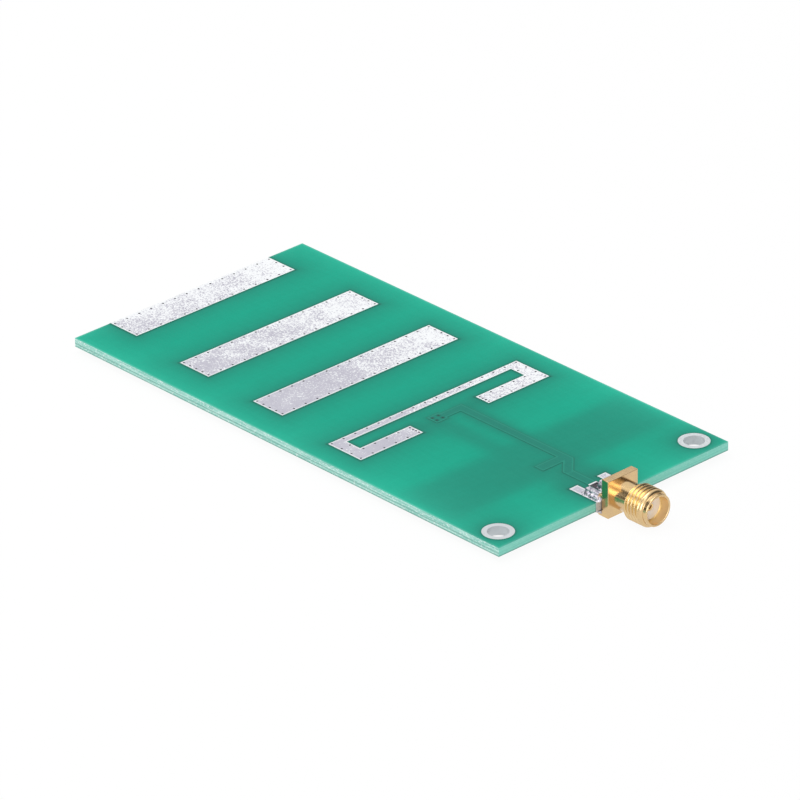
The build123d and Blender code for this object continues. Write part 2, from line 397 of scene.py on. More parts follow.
soft_box("overhead_box", (-0.15, -0.1, 0.75), 0.5, 2.5)
soft_box("left_box", (-0.35, -0.75, 0.42), 0.36, 2.0)
front_box = soft_box("front_box", (0.6, -0.56, 0.17), 0.36, 5.0)
high_front_box = soft_box("high_front_box", (0.53, -0.19, 0.57), 0.24, 3.0)
on_the_jack = bpy.data.collections.new("lit_by_front_boxes")
for lamp in (front_box, high_front_box):
    lamp.light_linking.receiver_collection = on_the_jack

# %% Camera
camera_place = (660.088, -645.675, 495.116)
camera_forward = (-0.65489, 0.59962, -0.45997)
camera_up = (-0.32799, 0.32281, 0.88781)
camera_lens = 302.33
frame_shift = 0.35 / 800


def place_camera():
    """A long lens that looks down on the jack's end of the board, as in the photograph."""
    back = -Vector(camera_forward).normalized()
    right = Vector(camera_up).cross(back).normalized()
    up = back.cross(right)
    data = bpy.data.cameras.new("camera")
    data.lens = camera_lens
    data.sensor_width = 36.0
    data.shift_x = -frame_shift
    data.shift_y = frame_shift
    data.clip_start = 0.01
    data.clip_end = 20.0
    camera = bpy.data.objects.new("camera", data)
    turn = Matrix((right, up, back)).transposed().to_4x4()
    camera.matrix_world = Matrix.Translation(Vector(camera_place) * MM) @ turn
    bpy.context.scene.collection.objects.link(camera)
    return camera


bpy.context.scene.camera = place_camera()
bpy.context.scene.view_settings.view_transform = "Standard"
print("camera stands", round(Vector(camera_place).length), "mm away")

# %% [markdown]
# ## The green mask
# The lacquer is thin and slightly see-through. Light goes into the pale laminate under it and
# comes out again nearby, so the copper on the far face shows as a soft dark field, copper on
# this face has a dark halo, and the board's rim glows. Real scattering in so thin a sheet is slow
# and noisy, so all that is worked out from the plan of the copper: a blurred rectangle for what
# lies below, and the distance to what lies on top.

# %% Distances over the plan
def distance_to_plate(tree, place, corners, inset=0.0):
    """How far a place is outside a rectangle, in millimetres. It is below 0 inside."""
    low_x, low_y, high_x, high_y = corners
    centre = ((low_x + high_x) / 2, (low_y + high_y) / 2, 0)
    half_size = ((high_x - low_x) / 2 - inset, (high_y - low_y) / 2 - inset, 0)
    flat = arrows(tree, "MULTIPLY", place, (1, 1, 0))
    from_centre = arrows(tree, "ABSOLUTE", arrows(tree, "SUBTRACT", flat, centre))
    past = arrows(tree, "SUBTRACT", from_centre, half_size)
    outside = arrows(tree, "LENGTH", arrows(tree, "MAXIMUM", past, (0, 0, 0)))
    axes = split_axes(tree, past)
    inside = sums(tree, "MINIMUM", sums(tree, "MAXIMUM", axes[0], axes[1]), 0.0)
    return sums(tree, "ADD", outside, inside)


def distance_to_bar(tree, place, start, end, half_width):
    """How far a place is outside a slanted bar between two points, in millimetres."""
    bar = Vector(end) - Vector(start)
    flat = arrows(tree, "MULTIPLY", place, (1, 1, 0))
    offset = arrows(tree, "SUBTRACT", flat, (*start, 0))
    along = arrows(tree, "DOT_PRODUCT", offset, (*(bar / bar.length_squared), 0))
    nearest = arrows(tree, "MULTIPLY", (*bar, 0), spread(tree, between(tree, along, 0.0, 1.0)))
    away = arrows(tree, "LENGTH", arrows(tree, "SUBTRACT", offset, nearest))
    return sums(tree, "SUBTRACT", away, half_width)


def distance_to_disc(tree, place, centre, radius):
    """How far a place is outside a disc, in millimetres."""
    flat = arrows(tree, "MULTIPLY", place, (1, 1, 0))
    away = arrows(tree, "LENGTH", arrows(tree, "SUBTRACT", flat, (*centre, 0)))
    return sums(tree, "SUBTRACT", away, radius)


print("shapes for distances:", [f.__name__ for f in (distance_to_plate, distance_to_bar, distance_to_disc)])

# %% Blur and fading over the plan
def nearest_of(tree, distances):
    """The least of many distances."""
    nearest = distances[0]
    for distance in distances[1:]:
        nearest = sums(tree, "MINIMUM", nearest, distance)
    return nearest


def fading(tree, distance, reach):
    """1 at the edge, and falling away with distance."""
    held = sums(tree, "MAXIMUM", distance, 0.0)
    return sums(tree, "EXPONENT", sums(tree, "DIVIDE", held, -reach))


def blurred_plate(tree, across, along, corners, blur):
    """A rectangle seen through something cloudy: 1 deep inside it, a half at its edge."""
    low_x, low_y, high_x, high_y = corners
    slabs = []
    for value, low, high in ((across, low_x, high_x), (along, low_y, high_y)):
        rise = sums(tree, "TANH", sums(tree, "DIVIDE", sums(tree, "SUBTRACT", value, low), blur))
        fall = sums(tree, "TANH", sums(tree, "DIVIDE", sums(tree, "SUBTRACT", value, high), blur))
        slabs.append(sums(tree, "MULTIPLY", sums(tree, "SUBTRACT", rise, fall), 0.5))
    return sums(tree, "MULTIPLY", *slabs)


def copper_below(tree, place, plates, blur=1.5):
    """How dark the copper on the far face makes this place."""
    axes = split_axes(tree, place)
    shade = blurred_plate(tree, axes[0], axes[1], plates[0], blur)
    for corners in plates[1:]:
        shade = sums(tree, "ADD", shade, blurred_plate(tree, axes[0], axes[1], corners, blur))
    return sums(tree, "MINIMUM", shade, 1.0)


def depth_from_rim(tree, place):
    """How far in from the nearest side of the board a place is."""
    outline = (board_low[0], board_low[1], board_high[0], board_high[1])
    return sums(tree, "MULTIPLY", distance_to_plate(tree, place, outline), -1.0)


print("plan distances ready")

# %% Mask colours and feed vias
open_green = screen_colour(26, 170, 141)
deep_green = screen_colour(35, 146, 124)
hug_green = screen_colour(42, 122, 107)
outline_shade_green = screen_colour(48, 112, 98)
rim_green = screen_colour(60, 206, 175)
lip_green = screen_colour(105, 204, 182)
copper_green = screen_colour(43, 134, 117)
ridge_highlight_green = screen_colour(49, 147, 127)
tent_shade_green = screen_colour(6, 84, 72)
feed_via_radius = 0.25
feed_via_low, feed_via_high = span("feed_vias")
feed_via_places = [
    (x, y)
    for x in (feed_via_low[0] + feed_via_radius, feed_via_high[0] - feed_via_radius)
    for y in (feed_via_low[1] + feed_via_radius, feed_via_high[1] - feed_via_radius)
]


def from_feed_via(tree, place):
    """How far a place is from the middle of the nearest feed via, in millimetres."""
    return nearest_of(tree, [distance_to_disc(tree, place, centre, 0.0) for centre in feed_via_places])


print("feed vias at", [(round(x, 2), round(y, 2)) for x, y in feed_via_places])

# %% Mask finish
def feed_distance(tree, place):
    """The distance to the narrow line under the mask."""
    shapes = [distance_to_plate(tree, place, corners) for corners in feed_plates]
    return nearest_of(tree, [*shapes, distance_to_bar(tree, place, *feed_jog, feed_half)])


def green_mask(name, strips, far_plates, line_on_this_face):
    """Lacquer for one face: it is open over the strips, and the far plates lie on the other face."""
    material, tree, shader, place = finish_named(name, Specular_IOR_Level=0.04)
    shade = copper_below(tree, place, far_plates)
    colour = blend(tree, shade, open_green, deep_green)
    rim = depth_from_rim(tree, place)
    colour = toward(tree, colour, rim_green, fading(tree, rim, 5.0), 0.36)
    colour = toward(tree, colour, rim_green, fading(tree, rim, 0.8), 0.35)
    colour = toward(tree, colour, lip_green, between(tree, rim, 0.45, 0.05), 0.8)
    shapes = [distance_to_plate(tree, place, corners) for corners in strips]
    shapes += [distance_to_disc(tree, place, centre, hole_pad_radius) for centre in hole_places]
    near = nearest_of(tree, shapes)
    colour = toward(tree, colour, hug_green, fading(tree, near, 4.5), 0.5)
    colour = toward(tree, colour, hug_green, fading(tree, near, 0.9), 0.38)
    # Painted shade: a narrow dark outline just outside the copper.
    colour = toward(tree, colour, outline_shade_green, between(tree, near, 0.34, 0.1), 0.5)
    if line_on_this_face:
        line = feed_distance(tree, place)
        colour = toward(tree, colour, hug_green, fading(tree, line, 0.8), 0.45)
        # Painted shade: a narrow dark outline just outside the feed line.
        colour = toward(tree, colour, outline_shade_green, between(tree, line, 0.25, 0.05), 0.5)
        # Painted highlight along the ridge where the mask runs over the feed line's edge.
        colour = blend(tree, between(tree, line, 0.0, -0.06), colour, ridge_highlight_green)
        colour = blend(tree, between(tree, line, -0.16, -0.34), colour, copper_green)
        # Painted shade of each feed via's hole, seen through the mask.
        tent_shade = between(tree, from_feed_via(tree, place), 0.42, 0.24)
        colour = toward(tree, colour, tent_shade_green, tent_shade, 0.9)
    weave = clouds(tree, place, 0.7, stretch=(1, 0.18, 1))
    cross = clouds(tree, place, 0.7, stretch=(0.18, 1, 1), shift=(31, 7, 0))
    cloth = sums(tree, "SUBTRACT", sums(tree, "ADD", weave, cross), 1.0)
    patches = sums(tree, "SUBTRACT", clouds(tree, place, 9.0), 0.5)
    grain = sums(tree, "SUBTRACT", clouds(tree, place, 0.3, detail=1.0), 0.5)
    mottle = sums(tree, "ADD", sums(tree, "MULTIPLY", cloth, 0.10), sums(tree, "MULTIPLY", patches, 0.04))
    mottle = sums(tree, "ADD", mottle, sums(tree, "MULTIPLY", grain, 0.10))
    colour = blend(tree, 1.0, colour, spread(tree, sums(tree, "ADD", mottle, 1.0)), kind="MULTIPLY")
    tree.links.new(colour, shader.inputs["Base Color"])
    peel = sums(tree, "ADD", clouds(tree, place, 0.9, detail=2.0), sums(tree, "MULTIPLY", cloth, 0.3))
    relief(tree, peel, 0.006, shader)
    tree.links.new(between(tree, patches, -0.2, 0.2, 0.34, 0.44), shader.inputs["Roughness"])
    return material


upper_mask = green_mask("solder_mask_top", strip_plates, ground_plates, True)
lower_mask = green_mask("solder_mask_bottom", [*strip_plates, *ground_plates], feed_plates, False)
dress(nodes["mask_top"], upper_mask)
dress(nodes["mask_bottom"], lower_mask)
print("mask finished on both faces")

# %% [markdown]
# ## Tents over the feed vias
# Four plated holes take the feed to the lower face. The lacquer spans each of them as a thin
# tent and sags a little, so it looks like a dark green dot. A flat disc just over the mask is
# enough for that, with the mask's colour at its rim and painted shade, a deeper green, in its
# middle. The mask round each hole carries the same painted shade.

# %% Tents over the feed vias
tent_radius = 0.31
tent_rise = 0.004


def tented():
    """The mask's lacquer where it sags into a plated hole, with painted shade in its middle."""
    material, tree, shader, place = finish_named("solder_mask_tent", Roughness=0.35, Specular_IOR_Level=0.2)
    spot = from_feed_via(tree, place)
    # Painted shade in the middle of the tent.
    colour = blend(tree, between(tree, spot, 0.2, tent_radius), tent_shade_green, copper_green)
    tree.links.new(colour, shader.inputs["Base Color"])
    relief(tree, clouds(tree, place, 0.3), 0.01, shader)
    return material


tent_finish = tented()
print("tent finish ready")

# %% [markdown]
# ## The laminate
# Glass cloth and resin are pressed in layers and then sawn. The sawn side is pale and matt. It
# shows the layers as faint lines along the board, and specks where the saw has torn the glass.
# Cutting that into the mesh would take many small faces. The colour depends on the height in
# the board instead, and the specks are stretched noise, which the bump lifts a little.

# %% Laminate finish
pale_layer = screen_colour(186, 233, 222)
deep_layer = screen_colour(134, 202, 188)
torn_glass = screen_colour(230, 250, 246)
middle_layer = screen_colour(112, 170, 156)
darker_foot = screen_colour(104, 148, 137)
milled_end_and_shade = screen_colour(131, 220, 201)
seam_height = 0.6


def sawn_laminate():
    """Pale layers along the sides, darker towards the bottom. The milled end at the jack is smoother, and
    greener and darker as painted shade.
    """
    material, tree, shader, place = finish_named("laminate", Roughness=0.62, Specular_IOR_Level=0.3)
    axes = split_axes(tree, place)
    layers = clouds(tree, place, 0.16, detail=2.0, stretch=(0.03, 0.03, 1))
    specks = clouds(tree, place, 0.3, detail=4.0, roughness=0.65, stretch=(0.7, 0.7, 1.3), shift=(5, 9, 2))
    colour = blend(tree, between(tree, layers, 0.35, 0.65), deep_layer, pale_layer)
    colour = blend(tree, between(tree, specks, 0.53, 0.66), colour, torn_glass)
    from_seam = sums(tree, "ABSOLUTE", sums(tree, "SUBTRACT", axes[2], seam_height))
    colour = toward(tree, colour, middle_layer, between(tree, from_seam, 0.16, 0.04), 0.7)
    # Painted shade: the milled end at the jack is darker and greener than the sawn sides, and smoother.
    at_end = between(tree, axes[0], jack_edge - 0.03, jack_edge - 0.01)
    colour = toward(tree, colour, milled_end_and_shade, at_end, 0.8)
    # Darker towards the bottom of each side.
    colour = toward(tree, colour, darker_foot, between(tree, axes[2], 0.24, 0.06), 0.75)
    tree.links.new(colour, shader.inputs["Base Color"])
    relief(tree, sums(tree, "ADD", layers, specks), 0.02, shader)
    return material


dress(nodes["board"], sawn_laminate())
print("laminate finished")

# %% [markdown]
# ## The tinned copper
# Molten tin was blown flat and froze in patches. Some patches are smooth and grey, others are
# a fine white frost, whose white is partly the tin's own crystals and partly painted glints. In
# the photograph the frost grows towards the left side of the board; that growth, and the duller
# tin near the jack, is painted light. Two sizes of noise make the frost: large clouds say where
# it is, and small ones break its edge. A painted highlight runs along each strip's edge, and
# painted shade dulls the tin round the screw holes.

# %% Tin finish
tin_grey = screen_colour(202, 200, 213)
tin_light = screen_colour(211, 210, 221)
frost_and_highlight_white = screen_colour(251, 253, 255)
tin_dark = screen_colour(172, 172, 186)
ring_shade_grey = screen_colour(164, 178, 181)


def painted_light_share(tree, axes):
    """How much more of the tin is frosted white, as painted light: more to the left and to the far end, less
    at the jack.
    """
    more = between(tree, axes[1], -17.0, 17.0, -0.13, 0.16)
    right_side = between(tree, axes[1], 5.0, -15.0)
    along = between(tree, axes[0], -50.0, -95.0, -0.06, 0.12)
    more = sums(tree, "ADD", more, sums(tree, "MULTIPLY", along, sums(tree, "ADD", right_side, 0.4)))
    return sums(tree, "ADD", more, between(tree, axes[0], -14.0, -8.0, 0.0, -0.12))


def hot_tin(name):
    """Grey tin with white frost that is partly painted glints, a painted highlight along each strip's edge,
    and painted shade round the screw holes.
    """
    material, tree, shader, place = finish_named(name, Specular_IOR_Level=0.3)
    axes = split_axes(tree, place)
    # Painted light: more white frost to the left and at the far end, less near the jack.
    more = painted_light_share(tree, axes)
    large = sums(tree, "SUBTRACT", clouds(tree, place, 3.5, detail=4.0, roughness=0.6), 0.5)
    fine = sums(tree, "SUBTRACT", clouds(tree, place, 0.27, detail=3.0, roughness=0.65, shift=(3, 1, 8)), 0.5)
    frost = sums(tree, "ADD", sums(tree, "MULTIPLY", large, 0.5), sums(tree, "MULTIPLY", fine, 1.7))
    white = between(tree, sums(tree, "ADD", frost, more), 0.0, 0.08)
    colour = blend(tree, between(tree, large, -0.15, 0.15), tin_grey, tin_light)
    # The white frost is partly the tin's own crystals and partly painted glints.
    colour = blend(tree, white, colour, frost_and_highlight_white)
    streaks = clouds(tree, place, 0.8, detail=5.0, roughness=0.7, stretch=(1.4, 0.7, 1), shift=(8, 4, 1))
    colour = toward(tree, colour, tin_dark, between(tree, streaks, 0.58, 0.7), 0.4)
    # A painted highlight along each strip's edge, where the mask ends.
    openings = [distance_to_plate(tree, place, corners, inset=lap) for corners in strip_plates]
    edge_highlight = between(tree, nearest_of(tree, openings), -0.36, -0.14)
    colour = toward(tree, colour, frost_and_highlight_white, edge_highlight, 0.8)
    # Painted shade dulls the tin round the screw holes.
    shade_at_holes = between(tree, sums(tree, "ABSOLUTE", axes[1]), 15.0, 16.0)
    shade_at_holes = sums(tree, "MULTIPLY", shade_at_holes, between(tree, axes[0], -8.0, -6.0))
    colour = toward(tree, colour, ring_shade_grey, shade_at_holes, 0.4)
    tree.links.new(colour, shader.inputs["Base Color"])
    tree.links.new(between(tree, white, 0.0, 1.0, 0.36, 0.6), shader.inputs["Roughness"])
    tree.links.new(between(tree, white, 0.0, 1.0, 0.35, 0.1), shader.inputs["Metallic"])
    relief(tree, sums(tree, "ADD", large, sums(tree, "MULTIPLY", fine, 0.5)), 0.02, shader)
    return material


tin = hot_tin("tinned_copper")
tin_starts = ("director", "driven", "leg_pad", "hole_plating", "feed_line", "back_copper", "feed_vias")
for name in nodes:
    if name.startswith(tin_starts):
        dress(nodes[name], tin)
print("tin finished")

# %% [markdown]
# ## Stitching vias
# Rows of small plated holes join each strip on the upper face to its twin below. There are too
# many for pieces of their own, and each is only 0.4 mm wide. On each face, one mesh holds all
# the lips and another all the dark bores, flat discs whose darkness is painted shade. A loop
# that walks round each strip's edge places them.

# %% A piece from points
def mesh_piece(name, points, faces, smooth=True):
    """A piece from points in millimetres, linked into the scene."""
    mesh = bpy.data.meshes.new(name)
    mesh.from_pydata([(x * MM, y * MM, z * MM) for x, y, z in points], [], faces)
    mesh.validate()
    for polygon in mesh.polygons:
        polygon.use_smooth = smooth
    piece = bpy.data.objects.new(name, mesh)
    bpy.context.scene.collection.objects.link(piece)
    return piece


print("mesh helper ready")

# %% Via places
via_pitch = 2.54
director_end_pitch = 1.7
arm_tip_pitch = 0.8
end_bar_pitch = 2.27
rim_clearance = 0.3
via_inset = 0.45
bar_inset = 0.37


def row(start, end, fixed, along_y, pitch=via_pitch):
    """Evenly spread places between two ends, at about the pitch."""
    count = max(1, round((end - start) / pitch))
    steps = [start + (end - start) * i / count for i in range(count + 1)]
    return [(fixed, step) if along_y else (step, fixed) for step in steps]


def via_places():
    """The centres of all stitching vias."""
    places = []
    inset = via_inset + lap
    for low_x, low_y, high_x, high_y in director_plates:
        for fixed in (low_x + inset, high_x - inset):
            if fixed > board_low[0] + rim_clearance:
                places += row(low_y + inset, high_y - inset, fixed, True)
        for fixed in (low_y + inset, high_y - inset):
            places += row(low_x + inset, high_x - inset, fixed, False, director_end_pitch)[1:-1]
    places += row(dipole_right + inset, dipole_left - inset, dipole_far + lap + bar_inset, True)
    for side in (1, -1):
        outer, inner = side * (dipole_left - inset), side * (arm_inner + via_inset)
        low_y, high_y = min(inner, outer), max(inner, outer)
        arm_low_x = dipole_near - arm_width + via_inset - lap
        places += row(low_y, high_y, dipole_near - inset, True)
        places += row(low_y, high_y, arm_low_x, True)
        places += row(arm_low_x, dipole_near - inset, inner, False, arm_tip_pitch)[1:-1]
        end_rows = row(dipole_far + inset, dipole_near - inset, outer, False, end_bar_pitch)[1:-1]
        places += end_rows
        places += [(x, side * (dipole_left - end_bar_width + lap)) for x, y in end_rows[:-1]]
    return places


stitches = via_places()
print("first stitching vias:", [(round(x, 2), round(y, 2)) for x, y in stitches[:3]])

# %% Discs and lips
via_radius = 0.2
lip_width = 0.07
lip_height = 0.012


def discs(name, centres, radius, height, sides=12):
    """One mesh of flat discs at a height."""
    points, faces = [], []
    for x, y in centres:
        first = len(points)
        for i in range(sides):
            angle = 2 * math.pi * i / sides
            points.append((x + radius * math.cos(angle), y + radius * math.sin(angle), height))
        faces.append(tuple(range(first, first + sides)))
    return mesh_piece(name, points, faces, smooth=False)


def lips(name, centres, base, outward, sides=12):
    """One mesh of low rounded rings that stand on a face. Outward is 1 upwards and -1 downwards."""
    profile = [
        (via_radius + lip_width, 0.0),
        (via_radius + lip_width * 0.6, lip_height),
        (via_radius + lip_width * 0.1, lip_height),
        (via_radius - lip_width * 0.3, 0.0),
    ]
    points, faces = [], []
    for x, y in centres:
        first = len(points)
        for i in range(sides):
            angle = 2 * math.pi * i / sides
            for radius, rise in profile:
                across, along = radius * math.cos(angle), radius * math.sin(angle)
                points.append((x + across, y + along, base + outward * rise))
        for i in range(sides):
            a, b = first + i * len(profile), first + (i + 1) % sides * len(profile)
            for k in range(len(profile) - 1):
                faces.append((a + k, b + k, b + k + 1, a + k + 1))
    return mesh_piece(name, points, faces)


print("a lip is", round(2 * (via_radius + lip_width), 2), "mm across")

# %% Via pieces
bore_lift = 0.003
# The bores are flat discs whose dark colour is painted shade.
bore_shade_dark = screen_colour(24, 26, 30)
bore_shade_grey = screen_colour(64, 66, 72)
tin_top = span("director_near_top")[1][2]
tin_bottom = span("director_near_bottom")[0][2]


def shaded_bore():
    """Painted shade in a small plated hole, seen as a dark spot."""
    material, tree, shader, place = finish_named("shaded_bore", Roughness=0.5, Metallic=0.4)
    colour = blend(tree, clouds(tree, place, 0.2), bore_shade_dark, bore_shade_grey)
    tree.links.new(colour, shader.inputs["Base Color"])
    return material


bore_shade_finish = shaded_bore()
for face, base, outward in (("top", tin_top, 1), ("bottom", tin_bottom, -1)):
    rings = lips(f"via_lips_{face}", stitches, base, outward)
    dress(rings, tin)
    bores = discs(f"via_bores_{face}", stitches, via_radius, base + outward * bore_lift)
    dress(bores, bore_shade_finish)
    for piece in (rings, bores):
        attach(piece, "root")
for face, height in (("top", board_top + mask_skin + tent_rise), ("bottom", -mask_skin - tent_rise)):
    tents = discs(f"feed_via_tents_{face}", feed_via_places, tent_radius, height, sides=20)
    dress(tents, tent_finish)
    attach(tents, "root")
print("stitching vias on each face:", len(stitches), "and feed vias:", len(feed_via_places))

# %% [markdown]
# ## The jack's shell
# The shell is turned and milled from one bar: a square flange with four legs, a neck, and
# a barrel with a fine thread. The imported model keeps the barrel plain, so this piece takes its
# place and adds the thread. A turned shape is a grid of points: one way runs along the profile,
# the other round the axis. The thread only changes the radius with the angle, so it needs no
# boolean. The flange and the legs are boxes with rounded edges, and weighted normals keep
# their flat faces flat in the light.

# %% Turned shapes
def turned_mesh(rows, sides, axis_z):
    """Points and faces of a turned skin. Each row is x and a radius, or a function of the angle."""
    points, faces = [], []
    for x, radius in rows:
        for i in range(sides):
            angle = 2 * math.pi * i / sides
            r = radius(angle) if callable(radius) else radius
            points.append((x, r * math.cos(angle), axis_z + r * math.sin(angle)))
    for k in range(len(rows) - 1):
        for i in range(sides):
            a, b = k * sides + i, k * sides + (i + 1) % sides
            faces.append((a, b, b + sides, a + sides))
    return points, faces


contact_low, contact_high = span("jack_contact")
axis_z = (contact_low[2] + contact_high[2]) / 2
body_low, body_high = span("jack_body")
print("jack axis at z =", round(axis_z, 3))

# %% Thread
thread_radius = 3.175
thread_pitch = 0.7056
thread_depth = 0.43
crest_half, flank = 0.14, 0.72
flange_front = jack_edge + 1.75
neck_radius = 2.5
thread_start = jack_edge + 5.1
thread_end = jack_edge + 8.2
steps_a_turn = 20
lead_out = 0.35 * thread_pitch


def ridge(x, angle):
    """How deep the thread is cut at a place: 0 on a narrow crest and 1 in a narrow root."""
    turn = (x - thread_start) / thread_pitch - angle / (2 * math.pi)
    slope = abs(2 * (turn % 1.0) - 1.0)
    return min(1.0, max(0.0, (slope - crest_half) / flank))


def thread_rows():
    """Rows over the threaded stretch. The cut fades out at the lead-in."""
    count = round((thread_end - thread_start) / thread_pitch * steps_a_turn)
    rows = []
    for k in range(count + 1):
        x = thread_start + (thread_end - thread_start) * k / count
        fade = min(1.0, (thread_end - x) / lead_out)
        rows.append((x, lambda angle, x=x, fade=fade: thread_radius - thread_depth * fade * ridge(x, angle)))
    return rows


print("thread rows:", len(thread_rows()))

# %% Barrel
mouth_radius = 2.3
mouth_floor = jack_edge + 7.75
insulator_radius = 2.1
nose_radius = 2.7
nose_tip = body_high[0]
sides_round = 128


def barrel_points():
    """The neck, the threaded barrel, the nose and the mouth as one turned skin."""
    before = [
        (flange_front - 0.02, neck_radius),
        (flange_front + 0.1, neck_radius),
        (thread_start - 0.12, neck_radius),
        (thread_start - 0.08, neck_radius),
        (thread_start - 0.05, neck_radius + 0.05),
        (thread_start - 0.01, thread_radius - thread_depth),
    ]
    lead = [
        (thread_end + 0.04, thread_radius - 0.02),
        (thread_end + 0.16, thread_radius - 0.04),
        (thread_end + 0.28, thread_radius - 0.1),
        (thread_end + 0.38, thread_radius - 0.2),
        (thread_end + 0.46, thread_radius - 0.34),
        (thread_end + 0.5, nose_radius + 0.04),
        (thread_end + 0.52, nose_radius),
        (thread_end + 0.56, nose_radius),
    ]
    nose = [
        (nose_tip - 0.2, nose_radius),
        (nose_tip - 0.14, nose_radius),
        (nose_tip - 0.06, nose_radius - 0.02),
        (nose_tip - 0.01, nose_radius - 0.08),
        (nose_tip, nose_radius - 0.14),
        (nose_tip, mouth_radius + 0.09),
        (nose_tip - 0.03, mouth_radius + 0.03),
        (nose_tip - 0.09, mouth_radius),
        (nose_tip - 0.14, mouth_radius),
        (mouth_floor + 0.08, mouth_radius),
        (mouth_floor + 0.03, mouth_radius),
        (mouth_floor, mouth_radius - 0.03),
        (mouth_floor, insulator_radius),
    ]
    return turned_mesh([*before, *thread_rows(), *lead, *nose], sides_round, axis_z)


barrel = barrel_points()
print("barrel skin:", len(barrel[0]), "points")

# %% Rounded blocks
def block(low, high, bevel, segments=3):
    """A box with rounded edges, as points and faces in millimetres."""
    shape = bmesh.new()
    bmesh.ops.create_cube(shape, size=1.0)
    for point in shape.verts:
        point.co = Vector([low[i] + (high[i] - low[i]) * (point.co[i] + 0.5) for i in range(3)])
    edges = list(shape.edges)
    bmesh.ops.bevel(shape, geom=edges, offset=bevel, segments=segments, profile=0.5, affect="EDGES")
    shape.verts.index_update()
    points = [tuple(point.co) for point in shape.verts]
    faces = [tuple(point.index for point in face.verts) for face in shape.faces]
    shape.free()
    return points, faces


def joined(shapes):
    """Several sets of points and faces as one."""
    points, faces = [], []
    for shape_points, shape_faces in shapes:
        first = len(points)
        points += shape_points
        faces += [tuple(first + i for i in face) for face in shape_faces]
    return points, faces


print("points in a rounded block:", len(block((0, 0, 0), (1, 1, 1), 0.1)[0]))

# %% Flange, legs and the whole shell
flange_half = axis_z - body_low[2]
flange_back = jack_edge + 0.3
flange_bevel = 0.1
leg_bevel = 0.05
leg_inner, leg_outer = 2.18, 3.18
leg_height = 0.95
leg_lift = 0.085
leg_seat = board_top + leg_lift
leg_root = jack_edge - 0.5
wetted = 0.08
overlap = 0.2


def shell_blocks():
    """The flange and its four legs. A leg is a little thinner where solder coats it."""
    flange_low = (flange_back, -flange_half, axis_z - flange_half)
    flange_high = (flange_front, flange_half, axis_z + flange_half)
    shapes = [block(flange_low, flange_high, flange_bevel)]
    for side in (1, -1):
        low_y, high_y = sorted((side * leg_inner, side * leg_outer))
        for low_z, high_z in ((leg_seat, leg_seat + leg_height), (body_low[2], -leg_lift)):
            root = block((leg_root, low_y, low_z), (flange_back + overlap, high_y, high_z), leg_bevel)
            low = (body_low[0] + wetted, low_y + wetted, low_z + wetted)
            high = (leg_root + overlap, high_y - wetted, high_z - wetted)
            shapes += [root, block(low, high, leg_bevel)]
    return shapes


shell = mesh_piece("jack_shell", *joined([barrel, *shell_blocks()]))
shell.modifiers.new("flat_faces_stay_flat", "WEIGHTED_NORMAL")
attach(shell, "root")
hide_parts("jack_body")
print("jack shell:", len(shell.data.polygons), "faces")

# %% [markdown]
# ## The centre contact
# One turned pin runs through the insulator: a round pin behind, which is soldered to the feed
# pad, and a socket in front. A drilled cylinder would need a boolean, so it is turned like the
# shell, from one list of radii that runs into the socket and stops at its floor. In the
# photograph the socket's lips are closed in, so the hole is a little narrower than it was packed.

# %% Centre contact
pin_end = contact_low[0]
pin_radius = 0.635
socket_radius = 0.36
socket_depth = 2.4
contact_front = contact_high[0]
contact_rows = [
    (pin_end, 0.02),
    (pin_end, pin_radius - 0.12),
    (pin_end + 0.03, pin_radius - 0.03),
    (pin_end + 0.1, pin_radius),
    (pin_end + 0.2, pin_radius),
    (contact_front - 0.14, pin_radius),
    (contact_front - 0.06, pin_radius),
    (contact_front, pin_radius - 0.06),
    (contact_front, pin_radius - 0.1),
    (contact_front, socket_radius + 0.1),
    (contact_front - 0.1, socket_radius),
    (contact_front - 0.16, socket_radius),
    (contact_front - socket_depth, socket_radius),
    (contact_front - socket_depth, 0.02),
]
centre = mesh_piece("jack_centre", *turned_mesh(contact_rows, 48, axis_z))
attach(centre, "root")
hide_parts("jack_contact")
print("centre contact from", round(pin_end - jack_edge, 2), "to", round(contact_front - jack_edge, 2), "mm")

# %% [markdown]
# ## Gold plating
# Thin gold over turned brass is a clean yellow mirror that the cutter's marks blur a little. The
# marks run round the axis, so the noise for the bump is squeezed along it and stretched round
# it. Slow clouds vary the roughness, as handling does. The plating is painted paler in the
# mouth, as a painted highlight, and in the thread's roots, as a painted reflection.

# %% Gold finish
gold_colour = (0.72, 0.51, 0.255, 1.0)
worn_gold = (0.66, 0.47, 0.265, 1.0)
mouth_highlight_gold = (0.86, 0.66, 0.38, 1.0)
face_gold = (0.92, 0.80, 0.66, 1.0)
root_reflection_gold = (0.84, 0.66, 0.37, 1.0)


def from_axis(tree, place):
    """How far a place is from the jack's axis, in millimetres."""
    flat = arrows(tree, "MULTIPLY", arrows(tree, "SUBTRACT", place, (0, 0, axis_z)), (0, 1, 1))
    return arrows(tree, "LENGTH", flat)


